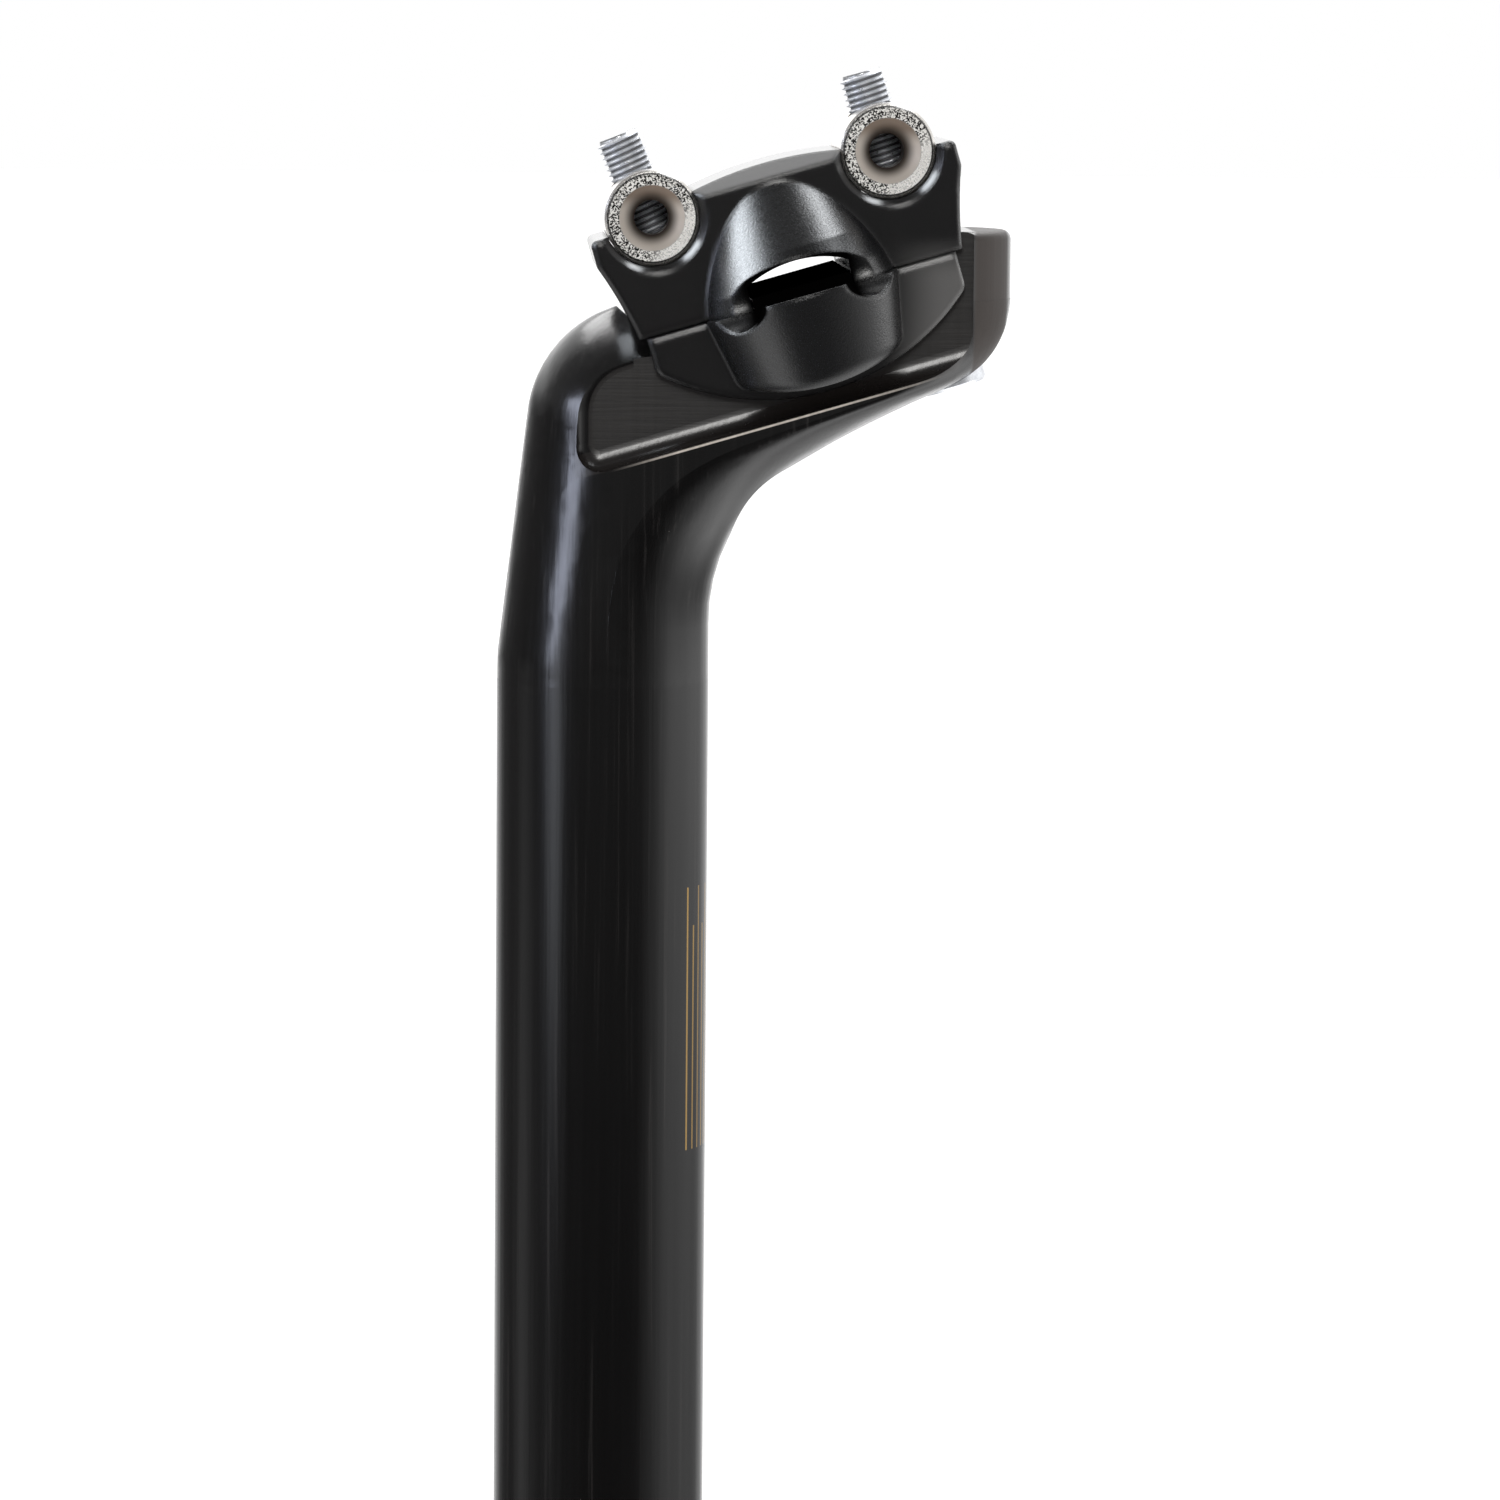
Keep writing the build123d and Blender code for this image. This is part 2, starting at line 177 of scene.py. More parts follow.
# In the looks, a Noise is scale, detail and roughness, Dots are scale, radius and share,
# a Fade runs from none to full, and a Band is from, to and softness.

# post: satin black, streaked along the drawn tube, browner where the cheeks are milled
postLook = {
    "black": (0.0016, 0.0015, 0.0017, 1),
    "blackWorn": (0.0042, 0.0036, 0.0036, 1),
    "drawn": (0.015, 0.0135, 0.0132, 1),
    "milled": (0.0058, 0.0046, 0.0041, 1),
    "milledWorn": (0.022, 0.0175, 0.0155, 1),
    "heel": (0.034, 0.022, 0.016, 1),
    "ledge": (0.015, 0.0125, 0.0115, 1),
    "edge": (0.62, 0.56, 0.50, 1),
    "inside": (0.016, 0.016, 0.017, 1),
    "gold": (0.42, 0.27, 0.10, 1),
    "dust": (0.16, 0.15, 0.14, 1),
    "rough": 0.21,
    "milledRough": 0.42,
    "insideRough": 0.5,
    "streakRough": 0.16,  # this and the next four are added to what lies under
    "ledgeRough": 0.04,
    "heelRough": 0.3,
    "goldRough": 0.1,
    "dustRough": 0.3,
    "bump": 0.25,
    "bumpDepth": 0.09 * mm,
    "streakHeight": 0.9,
    "streakNoise": (1300, 4, 0.65),
    "streakStretch": (1, 1, 0.012),
    "blotchNoise": (60, 3, 0.55),
    "drawnFade": (0.56, 0.74),
    "cutNoise": (2600, 3, 0.6),
    "cutStretch": (0.03, 1, 1),
    "dustDots": (380, 0.06 * mm, 0.22),
    "cheekFade": (10.62 * mm, 10.54 * mm),
    "cheekTurnFade": (0.96, 0.99),
    "cheekFootFade": (320 * mm, 322 * mm),
    "ledgeAt": 24.5 * mm,
    "ledgeHeight": 334.69 * mm,
    "ledgeRise": 16.2,
    "ledgeBand": (0, 2.9 * mm, 0.1 * mm),
    "ledgeLengthBand": (-4 * mm, 46 * mm, 0.3 * mm),
    "ledgeSideFade": (10.3 * mm, 10.5 * mm),
    "edgeBand": (-0.26 * mm, 0.02 * mm, 0.05 * mm),
    "edgeFrontFade": (0, 12 * mm),
    "edgeRearFade": (44 * mm, 30 * mm),
    "edgeSideFade": (10.6 * mm, 10.9 * mm),
    "edgeLeast": 0.45,
    "edgeStreak": 0.9,
    "heelBand": (46.6 * mm, 51.2 * mm, 0.3 * mm),
    "heelFootFade": (334 * mm, 338 * mm),
    "heelShare": 0.8,
    "insideFade": (11.9 * mm, 11.6 * mm),
    "insideTopFade": (316 * mm, 314 * mm),
    "tubeRadius": 13.6 * mm,
    "lineFirst": 53,  # degrees round the tube, as are the next two
    "lineStep": 6,
    "lineBand": (51, 127, 0.2),
    "lineWidth": 0.34 * mm,
    "lineFade": (0.55, 0.4),  # parts of the width, out from a line's middle
    "lineFootFade": (239.9 * mm, 240 * mm),
    "lineTopFade": (274 * mm, 273.9 * mm),
    "lineStagger": 5 * mm,
}


def postFinish(look):
    material, shader, place = newFinish("postSatinBlack", {"IOR": 1.5})
    x, y, z = place.parts()
    side = abs(y)
    sideways = abs(place.add("NewGeometry", out="Normal").parts()[1])
    streak = place.scaled(look["streakStretch"]).noise(*look["streakNoise"])
    blotch = place.noise(*look["blotchNoise"])
    colour = ((streak + blotch) / 2).mixColour(look["black"], look["blackWorn"])
    colour = streak.fade(*look["drawnFade"]).mixColour(colour, look["drawn"])
    # milled cheeks, with fine cutter lines running along them
    cheek = side.fade(*look["cheekFade"]) * sideways.fade(*look["cheekTurnFade"])
    cheek = cheek * z.fade(*look["cheekFootFade"])
    cut = place.scaled(look["cutStretch"]).noise(*look["cutNoise"])
    colour = cheek.mixColour(colour, cut.mixColour(look["milled"], look["milledWorn"]))
    # ledge below the cheeks, browner for its milled tone and lighter as painted light on it
    rise = math.tan(math.radians(look["ledgeRise"]))
    above = z - (x - look["ledgeAt"]) * rise - look["ledgeHeight"]
    ledge = above.between(*look["ledgeBand"]) * x.between(*look["ledgeLengthBand"])
    ledge = ledge * (1 - cheek) * side.fade(*look["ledgeSideFade"])
    colour = ledge.mixColour(colour, look["ledge"])
    # painted highlight: a bright cream line along the ledge's outer edge
    paintedEdgeHighlight = above.between(*look["edgeBand"]) * side.fade(*look["edgeSideFade"])
    paintedEdgeHighlight = paintedEdgeHighlight * x.fade(*look["edgeFrontFade"]) * x.fade(*look["edgeRearFade"])
    paintedEdgeHighlight = paintedEdgeHighlight * (look["edgeLeast"] + streak * look["edgeStreak"])
    colour = paintedEdgeHighlight.mixColour(colour, look["edge"])
    # brown cast on the wall behind the cheeks
    heel = x.between(*look["heelBand"]) * z.fade(*look["heelFootFade"])
    colour = (heel * look["heelShare"]).mixColour(colour, look["heel"])
    # dull inside of the tube
    inside = place.scaled((1, 1, 0)).length().fade(*look["insideFade"])
    inside = inside * z.fade(*look["insideTopFade"])
    colour = inside.mixColour(colour, look["inside"])
    # gold lines down the back of the tube, every other one shorter
    angle = place.maths("ARCTAN2", x, 0 - y) * (180 / math.pi)
    count = (angle - look["lineFirst"]) / look["lineStep"]
    nearest = place.maths("ROUND", count)
    apart = math.radians(look["lineStep"]) * look["tubeRadius"] / look["lineWidth"]
    gold = (abs(count - nearest) * apart).fade(*look["lineFade"]) * angle.between(*look["lineBand"])
    lifted = z + place.maths("PINGPONG", nearest, 1) * look["lineStagger"]
    gold = gold * z.fade(*look["lineFootFade"]) * lifted.fade(*look["lineTopFade"]) * (1 - inside)
    colour = gold.mixColour(colour, look["gold"])
    dust = place.dots(*look["dustDots"]) * (1 - gold)
    colour = dust.mixColour(colour, look["dust"])
    rough = look["rough"] + (streak - 0.5) * look["streakRough"]
    rough = rough + cheek * (look["milledRough"] - look["rough"])
    rough = rough + inside * (look["insideRough"] - look["rough"])
    rough = rough + ledge * look["ledgeRough"] + heel * look["heelRough"]
    rough = rough + gold * look["goldRough"] + dust * look["dustRough"]
    height = streak * (1 - cheek) * look["streakHeight"] + cut * cheek
    plug(shader, colour=colour, rough=rough, metal=gold, normal=bumped(height, look))
    return material


# clamp: smooth satin block painted paler towards its rear as painted light, gritty blasted wings,
# painted shade in the slots where the rails lie
clampLook = {
    "black": (0.0042, 0.0040, 0.0043, 1),
    "worn": (0.0085, 0.0080, 0.0082, 1),
    "grit": (0.0055, 0.0058, 0.0068, 1),
    "pale": (0.11, 0.107, 0.105, 1),
    "dust": (0.14, 0.14, 0.135, 1),
    "slotShade": (0.0012, 0.0011, 0.0011, 1),
    "flatRough": 0.2,
    "flatVary": 0.06,
    "gritRough": 0.28,
    "gritVary": 0.14,  # on top of flatVary
    "bump": 0.42,
    "bumpDepth": 0.05 * mm,
    "flatHeight": 0.02,
    "speckHeight": 0.7,
    "edgeRound": 0.9 * mm,
    "gritNoise": (3400, 2, 0.65),
    "speckNoise": (7000, 1, 0.5),
    "blotchNoise": (120, 3, 0.5),
    "dustDots": (420, 0.055 * mm, 0.2),
    "wingFade": (12.55 * mm, 12.85 * mm),
    "paintedLightRearFade": (34 * mm, 43 * mm),
    "paintedLightTopFade": (358 * mm, 352 * mm),
    "railMiddle": (24.081 * mm, 0, 351.440 * mm),
    "railRise": 16.2,
    "railSide": 22 * mm,
    "railFade": (3.85 * mm, 3.65 * mm),
    "slotEndFade": (8.5 * mm, 6.5 * mm),
    "jawUpFade": (0.5, 0.8),
    "jawHeightFade": (5.0 * mm, 4.5 * mm),
    "jawSideFade": (25.2 * mm, 24.8 * mm),
}


def clampFinish(look):
    material, shader, place = newFinish("clampBlastedBlack", {"IOR": 1.5})
    x, y, z = place.parts()
    wing = abs(y).fade(*look["wingFade"])
    grit = place.noise(*look["gritNoise"])
    speck = place.noise(*look["speckNoise"])
    colour = place.noise(*look["blotchNoise"]).mixColour(look["black"], look["worn"])
    # painted light: the block paler towards its rear and lower down
    rear = x.fade(*look["paintedLightRearFade"]) * z.fade(*look["paintedLightTopFade"]) * (1 - wing)
    colour = rear.mixColour(colour, look["pale"])
    colour = (wing * grit).mixColour(colour, look["grit"])
    dust = place.dots(*look["dustDots"])
    colour = dust.mixColour(colour, look["dust"])
    rough = look["flatRough"] + wing * (look["gritRough"] - look["flatRough"])
    rough = rough + (grit - 0.5) * (look["flatVary"] + wing * look["gritVary"])
    height = grit * (look["flatHeight"] + wing * (1 - look["flatHeight"]))
    height = height + speck * wing * look["speckHeight"]
    rounded = place.add("Bevel", {"samples": 4}, {"Radius": look["edgeRound"]})
    plug(shader, colour=colour, rough=rough, normal=bumped(height, look, rounded))
    # painted shade: a near-black matte shader round the rails and on the up-facing flats of the
    # lower jaws, measured from between the rails
    turn = (0, -math.radians(look["railRise"]), 0)
    along, across, up = place.seenFrom(look["railMiddle"], turn).parts()
    fromSide = abs(across) - look["railSide"]
    groove = (fromSide * fromSide + up * up).fade(*(reach ** 2 for reach in look["railFade"]))
    jaw = place.add("NewGeometry", out="Normal").parts()[2].fade(*look["jawUpFade"])
    jaw = jaw * abs(up).fade(*look["jawHeightFade"]) * abs(y).fade(*look["jawSideFade"])
    slotShade = place.maths("MAXIMUM", groove, jaw) * abs(along).fade(*look["slotEndFade"])
    dull = place.add("BsdfDiffuse", None, {"Color": look["slotShade"]})
    satin = Wire(place.tree, shader.outputs[0])
    both = place.add("MixShader", None, {0: slotShade, 1: satin, 2: dull})
    place.tree.links.new(both.socket, place.tree.nodes["Material Output"].inputs[0])
    return material


# barrel nuts: bright nickel, an end ring with painted glints and a painted highlight, and a beige
# countersink with painted shade
nutLook = {
    "nickel": (0.80, 0.77, 0.73, 1),
    "glintDark": (0.02, 0.018, 0.016, 1),
    "glintLight": (0.92, 0.90, 0.86, 1),
    "rim": (0.03, 0.028, 0.026, 1),
    "sink": (0.82, 0.75, 0.68, 1),
    "sinkShadeTop": (0.34, 0.27, 0.22, 1),
    "deep": (0.07, 0.055, 0.045, 1),
    "metal": 0.9,
    "ringMetal": 0.45,
    "sinkMetal": 0.45,
    "rough": 0.22,
    "smearRough": 0.15,  # this and the next are added to what lies under
    "grainRough": 0.15,
    "sinkRough": 0.42,
    "bump": 0.5,
    "bumpDepth": 0.1 * mm,
    "smearHeight": 0.05,
    "smearNoise": (900, 3, 0.6),
    "grainScale": 6000,
    "glintFade": (0.35, 0.65),
    "highlightSlope": 0.7,
    "highlightFade": (2.5 * mm, 5.0 * mm),
    "endFade": (11.15 * mm, 11.4 * mm),
    "rimFade": (5.4 * mm, 5.55 * mm),
    "sinkFade": (4.2 * mm, 4.08 * mm),
    "sinkShadeTopFade": (0.8 * mm, 3.0 * mm),
    "holeShadeFade": (3.7 * mm, 2.25 * mm),
}


def nutFinish(name, look, centre):
    material, shader, place = newFinish(name, {"IOR": 1.5})
    local = place.seenFrom(centre)
    x, y, z = local.parts()
    across = local.scaled((1, 0, 1)).length()
    inside = across.fade(*look["sinkFade"])
    ring = abs(y).fade(*look["endFade"]) * (1 - inside)
    # painted glints: every grain of the ring painted dark or light as though it catches the light
    # in its own way, and a painted highlight on its lower right side
    lot = place.cells(look["grainScale"])[1]
    smooth = (x - z * look["highlightSlope"]).fade(*look["highlightFade"])
    glint = lot.fade(*look["glintFade"]) * (1 - smooth) + smooth
    colour = ring.mixColour(look["nickel"], glint.mixColour(look["glintDark"], look["glintLight"]))
    colour = (ring * across.fade(*look["rimFade"])).mixColour(colour, look["rim"])
    # painted shade: the countersink darker at its top and towards the hole
    sink = z.fade(*look["sinkShadeTopFade"]).mixColour(look["sink"], look["sinkShadeTop"])
    sink = across.fade(*look["holeShadeFade"]).mixColour(sink, look["deep"])
    colour = inside.mixColour(colour, sink)
    smear = place.noise(*look["smearNoise"])
    rough = look["rough"] + (smear - 0.5) * look["smearRough"] + ring * lot * look["grainRough"]
    rough = rough + inside * (look["sinkRough"] - look["rough"])
    metal = look["metal"] + inside * (look["sinkMetal"] - look["metal"])
    metal = metal + ring * (look["ringMetal"] - look["metal"])
    height = lot * ring + smear * look["smearHeight"]
    plug(shader, colour=colour, rough=rough, metal=metal, normal=bumped(height, look))
    return material


# bright zinc, clouded, with painted shade in the roots where a thread is cut
zincLook = {
    "bright": (0.92, 0.94, 0.98, 1),
    "dull": (0.70, 0.72, 0.76, 1),
    "root": (0.17, 0.172, 0.18, 1),
    "tip": (0.34, 0.345, 0.355, 1),
    "metal": 0.65,
    "rough": 0.26,
    "cloudRough": 0.2,  # this and the next two are added to what lies under
    "scratchRough": 0.08,
    "rootRough": 0.25,
    "bump": 0.25,
    "bumpDepth": 0.03 * mm,
    "cloudNoise": (700, 3, 0.6),
    "cloudFade": (0.35, 0.7),
    "scratchNoise": (4200, 2, 0.6),
    "rootFade": (0.22 * mm, 0.02 * mm),  # out from the thread's minor radius
    "rootSoft": 0.1 * mm,
    "tipFade": (-0.5, -0.1),  # turns of the thread
}


def zincFinish(name, look, thread=None, tip=None, turn=None):
    material, shader, place = newFinish(name, {"Metallic": look["metal"]})
    cloud = place.noise(*look["cloudNoise"])
    scratch = place.noise(*look["scratchNoise"])
    colour = cloud.fade(*look["cloudFade"]).mixColour(look["bright"], look["dull"])
    rough = look["rough"] + (cloud - 0.5) * look["cloudRough"] + scratch * look["scratchRough"]
    if thread:
        local = place.seenFrom(tip, turn)
        turns = local.parts()[2] / thread["pitch"]
        beyond = local.scaled((1, 1, 0)).length() - thread["minor"]
        soft = look["rootSoft"] / thread["pitch"]
        cut = turns.between(-thread["threads"], look["tipFade"][0], soft)
        # painted shade: the thread's roots darker
        root = beyond.fade(*look["rootFade"]) * cut
        colour = root.mixColour(colour, look["root"])
        colour = turns.fade(*look["tipFade"]).mixColour(colour, look["tip"])
        rough = rough + root * look["rootRough"]
    plug(shader, colour=colour, rough=rough, normal=bumped(scratch, look))
    return material


dress("post", postFinish(postLook))
clamp = clampFinish(clampLook)
washerZinc = zincFinish("zincWasher", zincLook)
dress("lower_cradle", clamp)
dress("upper_clamp", clamp)
dress("front_washer", washerZinc)
dress("rear_washer", washerZinc)
print("finishes on post, clamp and washers")


# screws: fine 6 mm thread to the tip, plain shank, round head with a hexagon socket
screwLook = {
    "major": 2.97 * mm,
    "minor": 2.52 * mm,
    "pitch": 0.75 * mm,
    "crest": (0.44, 0.60),  # parts of a pitch, and the root runs on into the next one
    "root": (0.92, 0.12),
    "threads": 28,
    "steps": 40,
    "tipBreak": 0.15 * mm,
    "tipSlope": 0.9,
    "shank": 2.95 * mm,
    "length": 38.0 * mm,
    "neckRound": 0.15 * mm,
    "capRadius": 5.0 * mm,
    "capHeight": 4.0 * mm,
    "capSeatBreak": 0.1 * mm,
    "capBreak": 0.4 * mm,
    "socket": 5.0 * mm,
    "socketDepth": 2.6 * mm,
    "sides": 48,
    "sharpAngle": 28,
}


# a line of radii and heights, spun once round while it climbs
def spinLine(bm, points, steps, climb=0.0):
    line = [bm.verts.new((radius, 0, height)) for radius, height in points]
    edges = [bm.edges.new(pair) for pair in zip(line, line[1:])]
    bmesh.ops.spin(bm, geom=line + edges, cent=(0, 0, 0), axis=(0, 0, 1),
                   dvec=(0, 0, climb / steps), angle=2 * math.pi, steps=steps, use_merge=climb == 0)


def looseEdges(bm):
    return [edge for edge in bm.edges if not edge.link_faces]


def openRim(bm, height):
    return [edge for edge in bm.edges if edge.is_boundary
            and all(abs(v.co.z - height) < 0.01 * mm for v in edge.verts)]


# the thread's zigzag line climbs one pitch as it is spun
def threadedRod(look):
    bm = bmesh.new()
    pitch = look["pitch"]
    low, high = look["minor"], look["major"]
    tooth = ((0.0, low), (look["root"][1], low), (look["crest"][0], high),
             (look["crest"][1], high), (look["root"][0], low))
    spinLine(bm, [(radius, -(turn + share) * pitch) for turn in range(-1, look["threads"] + 1)
                  for share, radius in tooth], look["steps"], pitch)
    bmesh.ops.remove_doubles(bm, verts=bm.verts, dist=0.002 * mm)
    # cut both ends square and close them
    for height, outward in ((0, 1), (-look["threads"] * pitch, -1)):
        bmesh.ops.bisect_plane(bm, geom=bm.verts[:] + bm.edges[:] + bm.faces[:], dist=0.001 * mm,
                               plane_co=(0, 0, height), plane_no=(0, 0, outward), clear_outer=True)
        bmesh.ops.contextual_create(bm, geom=openRim(bm, height))
    # lead-in chamfer at the tip
    for v in bm.verts:
        limit = look["minor"] - look["tipBreak"] - v.co.z * look["tipSlope"]
        reach = math.hypot(v.co.x, v.co.y)
        if reach > limit > 0:
            v.co.x *= limit / reach
            v.co.y *= limit / reach
    return bm


def shankAndHead(look, bm):
    pitch = look["pitch"]
    neck = -look["length"]
    foot = neck - look["capHeight"]
    top = -(look["threads"] - 0.5) * pitch
    profile = (
        (look["minor"] * 0.9, top),  # starts inside the threaded rod
        (look["minor"], top - 0.5 * pitch),
        (look["shank"], top - pitch),
        (look["shank"], neck + look["neckRound"]),
        (look["shank"] + look["neckRound"], neck),
        (look["capRadius"] - look["capSeatBreak"], neck),
        (look["capRadius"], neck - look["capSeatBreak"]),
        (look["capRadius"], foot + look["capBreak"]),
        (look["capRadius"] - look["capBreak"], foot),
    )
    spinLine(bm, profile, look["sides"])
    bmesh.ops.contextual_create(bm, geom=openRim(bm, top))
    rim = openRim(bm, foot)
    # hexagon mouth, with as many points as the rim
    bmesh.ops.create_circle(bm, cap_ends=False, segments=6, radius=look["socket"] / math.sqrt(3),
                            matrix=Matrix.Translation((0, 0, foot)))
    bmesh.ops.subdivide_edges(bm, edges=looseEdges(bm), cuts=look["sides"] // 6 - 1)
    mouth = looseEdges(bm)
    bmesh.ops.bridge_loops(bm, edges=rim + mouth)
    walls = bmesh.ops.extrude_edge_only(bm, edges=mouth)
    deep = [piece for piece in walls["geom"] if isinstance(piece, bmesh.types.BMVert)]
    bmesh.ops.translate(bm, verts=deep, vec=(0, 0, look["socketDepth"]))
    bmesh.ops.contextual_create(bm, geom=[edge for edge in bm.edges if edge.is_boundary])


def makeScrew(name, node, body, look, tip, along):
    bm = threadedRod(look)
    shankAndHead(look, bm)
    bmesh.ops.recalc_face_normals(bm, faces=bm.faces)
    for face in bm.faces:
        face.smooth = True
    sharp = math.radians(look["sharpAngle"])
    for edge in bm.edges:
        if len(edge.link_faces) == 2 and edge.calc_face_angle() > sharp:
            edge.smooth = False
    stand = Vector((0, 0, 1)).rotation_difference(along).to_matrix().to_4x4()
    bmesh.ops.transform(bm, matrix=Matrix.Translation(tip) @ stand, verts=bm.verts)
    mesh = bpy.data.meshes.new(name)
    bm.to_mesh(mesh)
    bm.free()
    mesh.materials.append(zincFinish(name + "Zinc", zincLook, look, tip, stand.to_euler()))
    screw = bpy.data.objects.new(name, mesh)
    scene.collection.objects.link(screw)
    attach(screw, body)
    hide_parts(node)
    print(name, len(mesh.polygons), "faces")


# middles of the nuts, which way each screw points, and how far its tip is from its nut's middle
frontNut = Vector((5.598, 0, 359.504)) * mm
rearNut = Vector((35.367, 0, 368.153)) * mm
frontUp = Vector((-0.37784, 0, 0.92587))
rearUp = Vector((-0.27899, 0, 0.96029))
frontReach = 11.0 * mm
rearReach = 10.2 * mm
makeScrew("frontScrew", "front_bolt", "front_screw", screwLook,
          frontNut + frontUp * frontReach, frontUp)
makeScrew("rearScrew", "rear_bolt", "rear_screw", screwLook,
          rearNut + rearUp * rearReach, rearUp)
dress("front_barrel_nut", nutFinish("nickelFront", nutLook, frontNut))
dress("rear_barrel_nut", nutFinish("nickelRear", nutLook, rearNut))
print("finish on nuts")


# pale floor, lit a little by itself
floorLook = {
    "size": 14.0,
    "colour": (0.86, 0.86, 0.85, 1),
    "shade": (0.90, 0.90, 0.89, 1),
    "shadeNoise": (3, 2, 0.5),
    "rough": 0.8,
    "glow": 0.45,
}


def makeFloor(look):
    bm = bmesh.new()
    bmesh.ops.create_grid(bm, x_segments=2, y_segments=2, size=look["size"])
    mesh = bpy.data.meshes.new("floor")
    bm.to_mesh(mesh)
    bm.free()
    material, shader, place = newFinish("paleFloor", {
        "Roughness": look["rough"],
        "Emission Color": (1, 1, 1, 1),
        "Emission Strength": look["glow"],
    })
    plug(shader, colour=place.noise(*look["shadeNoise"]).mixColour(look["colour"], look["shade"]))
    mesh.materials.append(material)
    floor = bpy.data.objects.new("floor", mesh)
    scene.collection.objects.link(floor)
    floor.visible_glossy = False


# the room: white to the camera, even light for the rest, and four rings that the gloss mirrors,
# each with its brightness by degrees from the camera, to the right positive
roomLook = {
    "fill": (0.8, 0.8, 0.8, 1),
    "seen": (1, 1, 1, 1),
    "high": ((-180, 1.6), (-158, 1.9), (-138, 1.4), (-112, 0.35), (-70, 0.25), (-30, 0.12),
             (20, 0.12), (50, 0.25), (80, 0.9), (120, 1.1), (180, 1.4)),
    "level": ((-180, 1.70), (-168, 1.10), (-154, 0.40), (-138, 0.14), (-96, 0.12), (-70, 0.12),
              (-20, 0.20), (20, 0.20), (46, 0.26), (60, 0.70), (80, 1.80), (112, 1.50),
              (130, 0.95), (150, 1.05), (166, 1.50), (180, 1.70)),
    "low": ((-180, 1.60), (-166, 1.30), (-152, 0.70), (-136, 0.14), (-112, 0.12), (-94, 0.65),
            (-78, 0.14), (-20, 0.04), (40, 0.04), (56, 0.36), (78, 0.70), (104, 0.62),
            (128, 0.36), (150, 0.75), (166, 1.40), (180, 1.60)),
    "under": ((-180, 0.6), (-140, 0.3), (-100, 0.3), (-78, 1.8), (-50, 1.8), (-26, 0.12),
              (24, 0.10), (52, 0.6), (84, 1.7), (110, 2.0), (140, 1.0), (180, 0.6)),
    "highFade": (0.04, 0.30),
    "lowFade": (-0.03, -0.19),
    "underFade": (-0.25, -0.55),
}


def makeRoom(look):
    world = bpy.data.worlds.new("studio")
    scene.world = world
    world.use_nodes = True
    tree = world.node_tree
    tree.nodes.clear()
    start = Wire(tree)
    x, y, z = start.add("TexCoord", out="Generated").parts()
    around = start.maths("ARCTAN2", x, 0 - y) / (2 * math.pi) + 0.5

    def ring(name):
        stops = [(degrees / 360 + 0.5, (level, level, level, 1)) for degrees, level in look[name]]
        return start.add("ValToRGB", {"stops": stops, "ease": "EASE"}, {0: around})

    shine = ring("level")
    for name in ("high", "low", "under"):
        shine = z.fade(*look[name + "Fade"]).mixColour(shine, ring(name))
    rays = start.add("LightPath", out="Is Camera Ray")
    light = rays.other("Is Glossy Ray").mixColour(look["fill"], shine)
    back = start.add("Background", None, {"Color": rays.mixColour(light, look["seen"])})
    out = tree.nodes.new("ShaderNodeOutputWorld")
    tree.links.new(back.socket, out.inputs[0])


# softboxes: each has a middle, a point it faces, the line of its height, its width and height
softboxes = {
    "domeLeft": {
        "place": (-0.767, 0.056, 0.97), "aim": (0.03, 0, 0.37), "tall": (0, 1, 0),
        "size": (0.48, 0.40), "level": 24.0, "tint": (0.88, 0.94, 1.0), "clampOnly": True},
    "domeRight": {
        "place": (0.40, 0.033, 1.297), "aim": (0.03, 0, 0.37), "tall": (0, 1, 0),
        "size": (0.30, 0.28), "level": 20.0, "tint": (0.94, 0.97, 1.0), "clampOnly": False},
    "sideLeft": {
        "place": (-0.537, 0.152, 0.485), "aim": (0.03, 0, 0.36), "tall": (0, 0, 1),
        "size": (0.25, 0.22), "level": 4.0, "tint": (0.95, 0.98, 1.0), "clampOnly": True},
    "sideRight": {
        "place": (0.612, 0.10, 0.464), "aim": (0.03, 0, 0.36), "tall": (0, 0, 1),
        "size": (0.25, 0.25), "level": 3.2, "tint": (1.0, 1.0, 1.0), "clampOnly": True},
    "topBack": {
        "place": (0.10, 0.62, 1.07), "aim": (0.10, 0.62, 0), "tall": (0, 1, 0),
        "size": (1.1, 0.56), "level": 4.8, "tint": (1.0, 1.0, 1.0), "clampOnly": False},
    "leftStrip": {
        "place": (-0.425, -0.205, 0.43), "aim": (0, 0, 0.34), "tall": (-0.026, 0.19, 0.24),
        "size": (0.13, 0.31), "level": 9.5, "tint": (0.76, 0.82, 1.0), "clampOnly": False},
    "leftLow": {
        "place": (-0.40, -0.29, 0.25), "aim": (0, 0, 0.25), "tall": (0, 0, 1),
        "size": (0.13, 0.12), "level": 1.5, "tint": (0.9, 0.94, 1.0), "clampOnly": False},
    "frontKey": {
        "place": (-0.06, -0.76, 0.79), "aim": (0.02, 0, 0.345), "tall": (0, 0, 1),
        "size": (0.20, 0.44), "level": 17.0, "tint": (1.0, 0.99, 0.97), "clampOnly": False},
}


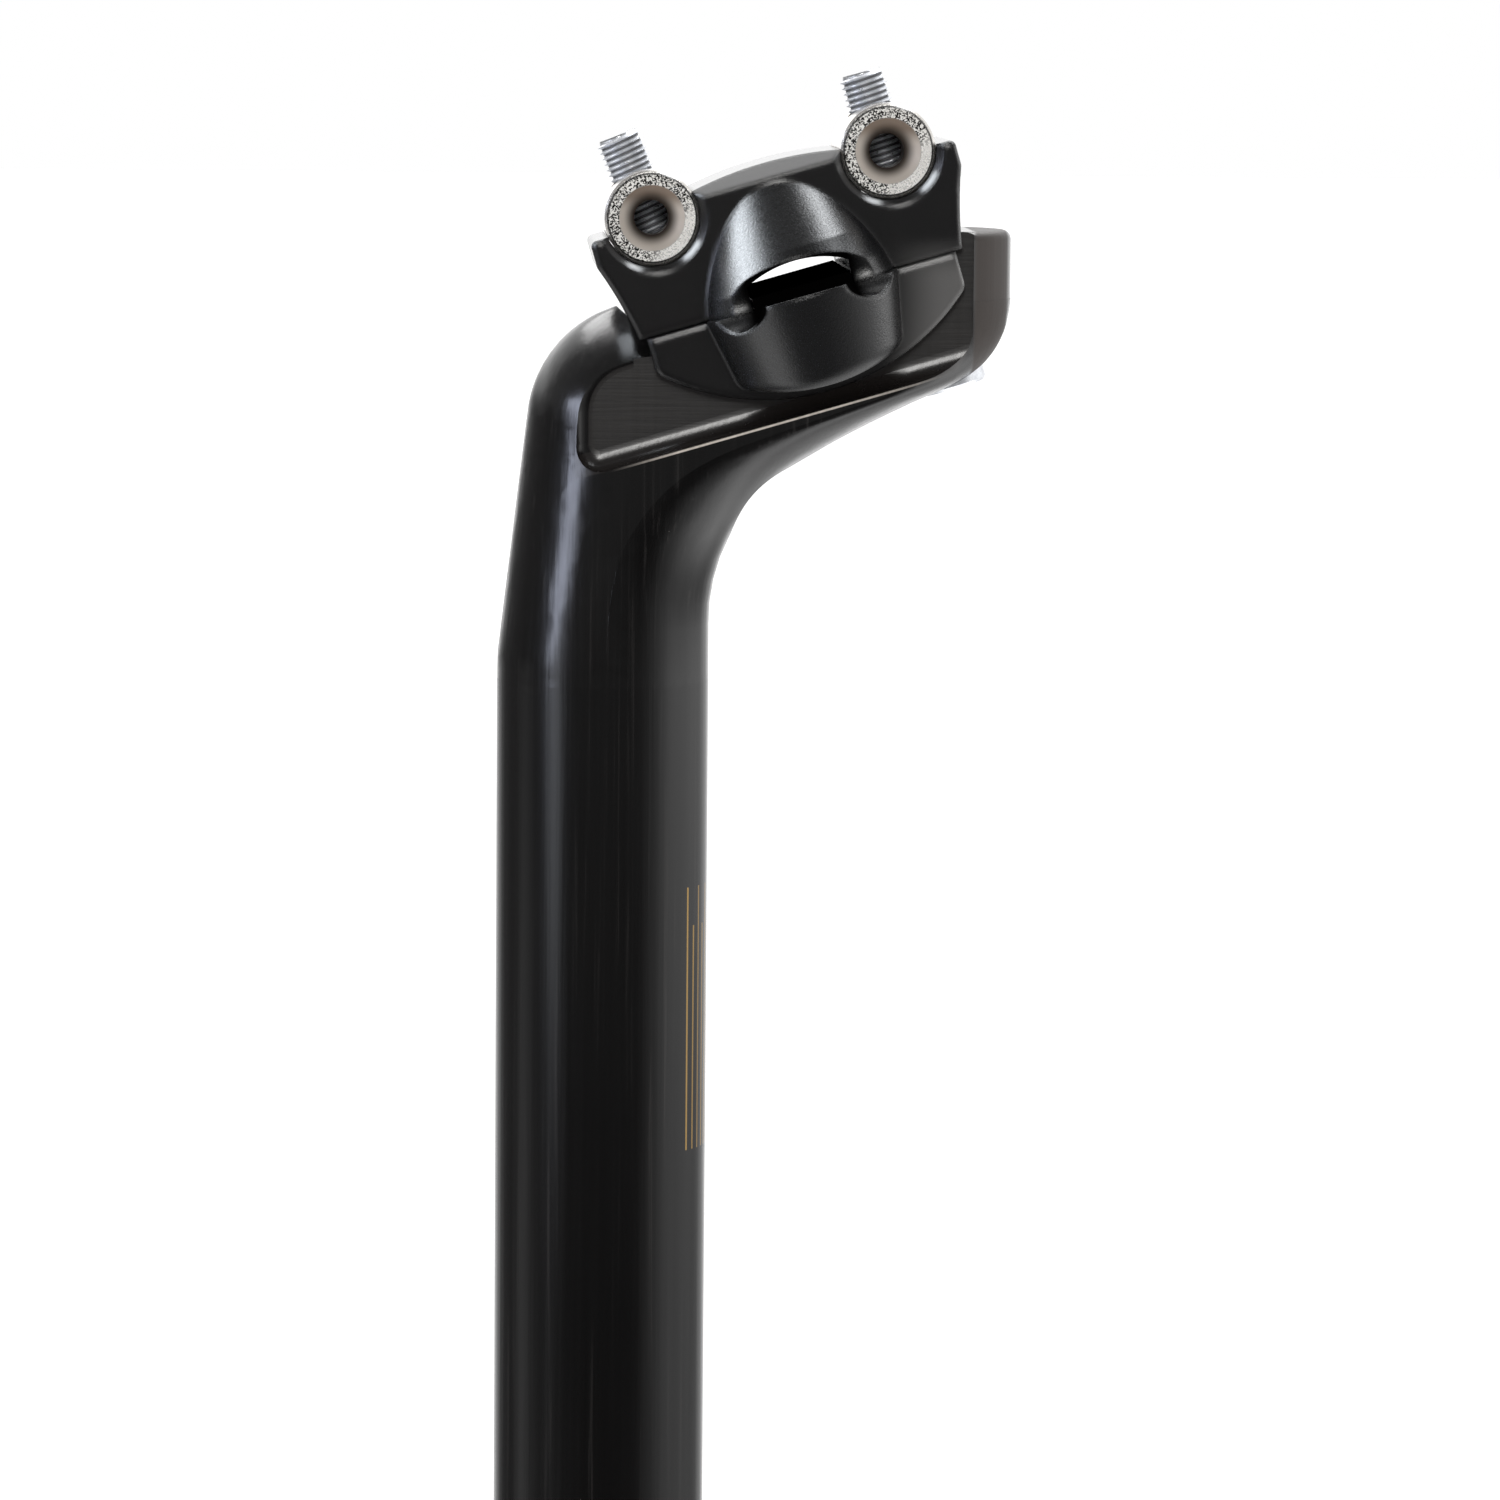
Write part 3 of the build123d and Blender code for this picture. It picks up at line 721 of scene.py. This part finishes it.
# seen by gloss only, and where clampOnly is set, screened off from all but the clamp
def makeSoftbox(name, look):
    lamp = bpy.data.lights.new(name, "AREA")
    lamp.shape = "RECTANGLE"
    lamp.size, lamp.size_y = look["size"]
    lamp.energy = look["level"] * math.pi * lamp.size * lamp.size_y
    lamp.color = look["tint"]
    stand = bpy.data.objects.new(name, lamp)
    back = (Vector(look["place"]) - Vector(look["aim"])).normalized()
    across = Vector(look["tall"]).cross(back).normalized()
    turn = Matrix((across, back.cross(across), back)).transposed()
    stand.location = look["place"]
    stand.rotation_euler = turn.to_euler()
    stand.visible_camera = False
    stand.visible_diffuse = False
    if look["clampOnly"]:
        stand.light_linking.receiver_collection = clampParts
    scene.collection.objects.link(stand)


clampParts = bpy.data.collections.new("clampParts")
for name in ("lower_cradle", "upper_clamp"):
    clampParts.objects.link(nodes[name])
makeFloor(floorLook)
makeRoom(roomLook)
for name, look in softboxes.items():
    makeSoftbox(name, look)
print("floor and light set")


# camera: distances in metres, angles in degrees, width of what it sees at the aim
cameraLook = {
    "aim": (0.01905, 0.0, 0.2908),
    "distance": 0.9,
    "yaw": -2.7,
    "pitch": 6.2,
    "roll": 0.47,
    "frameWidth": 0.1934,
    "sensor": 36,
    "nearest": 0.05,
}


def makeCamera(look):
    lens = bpy.data.cameras.new("photoCamera")
    lens.sensor_width = look["sensor"]
    lens.lens = look["sensor"] * look["distance"] / look["frameWidth"]
    lens.clip_start = look["nearest"]
    camera = bpy.data.objects.new("photoCamera", lens)
    yaw, pitch, roll = (math.radians(look[name]) for name in ("yaw", "pitch", "roll"))
    aim = Vector(look["aim"])
    level = math.cos(pitch)
    away = Vector((math.sin(yaw) * level, -math.cos(yaw) * level, math.sin(pitch)))
    camera.location = aim + look["distance"] * away
    upright = (aim - camera.location).to_track_quat("-Z", "Y").to_matrix()
    camera.rotation_euler = (upright @ Euler((0, 0, roll)).to_matrix()).to_euler()
    scene.collection.objects.link(camera)
    scene.camera = camera


makeCamera(cameraLook)
scene.view_settings.view_transform = "Standard"
print("camera set")
